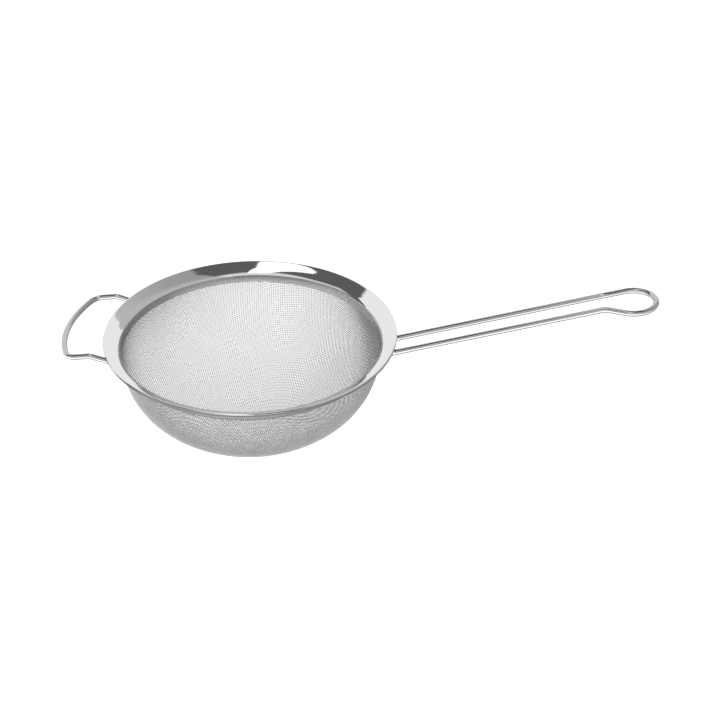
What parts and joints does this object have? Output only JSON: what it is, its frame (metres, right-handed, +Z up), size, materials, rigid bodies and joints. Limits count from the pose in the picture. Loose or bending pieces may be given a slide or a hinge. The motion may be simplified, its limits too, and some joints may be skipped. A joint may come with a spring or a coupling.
{
  "type": "kitchen strainer",
  "caption": "Round kitchen strainer with a woven wire bowl in a flanged steel rim, a long wire handle with a hanging eye, and a wire helper loop opposite it.",
  "frame": {"origin": "centre of the rim's rolled edge, on the bowl's axis", "axes": "+Z up along the bowl's axis, out of its mouth; +X out along the long handle; the part is symmetric about the XZ plane"},
  "size_m": [0.4013, 0.2, 0.1232],
  "materials": {
    "polished_steel": "mirror-polished stainless steel sheet",
    "wire_cloth": "plain-woven stainless wire cloth, bright",
    "drawn_wire": "polished stainless wire with faint drawing lines along it",
    "weld_metal": "cleaned resistance weld, satin"
  },
  "bodies": {
    "root": {"rim_ring": "polished_steel", "retaining_band": "polished_steel", "mesh_bowl": "wire_cloth", "handle_wire": "drawn_wire", "helper_wire": "drawn_wire", "handle_welds": "weld_metal", "helper_welds": "weld_metal"}
  },
  "joints": []
}
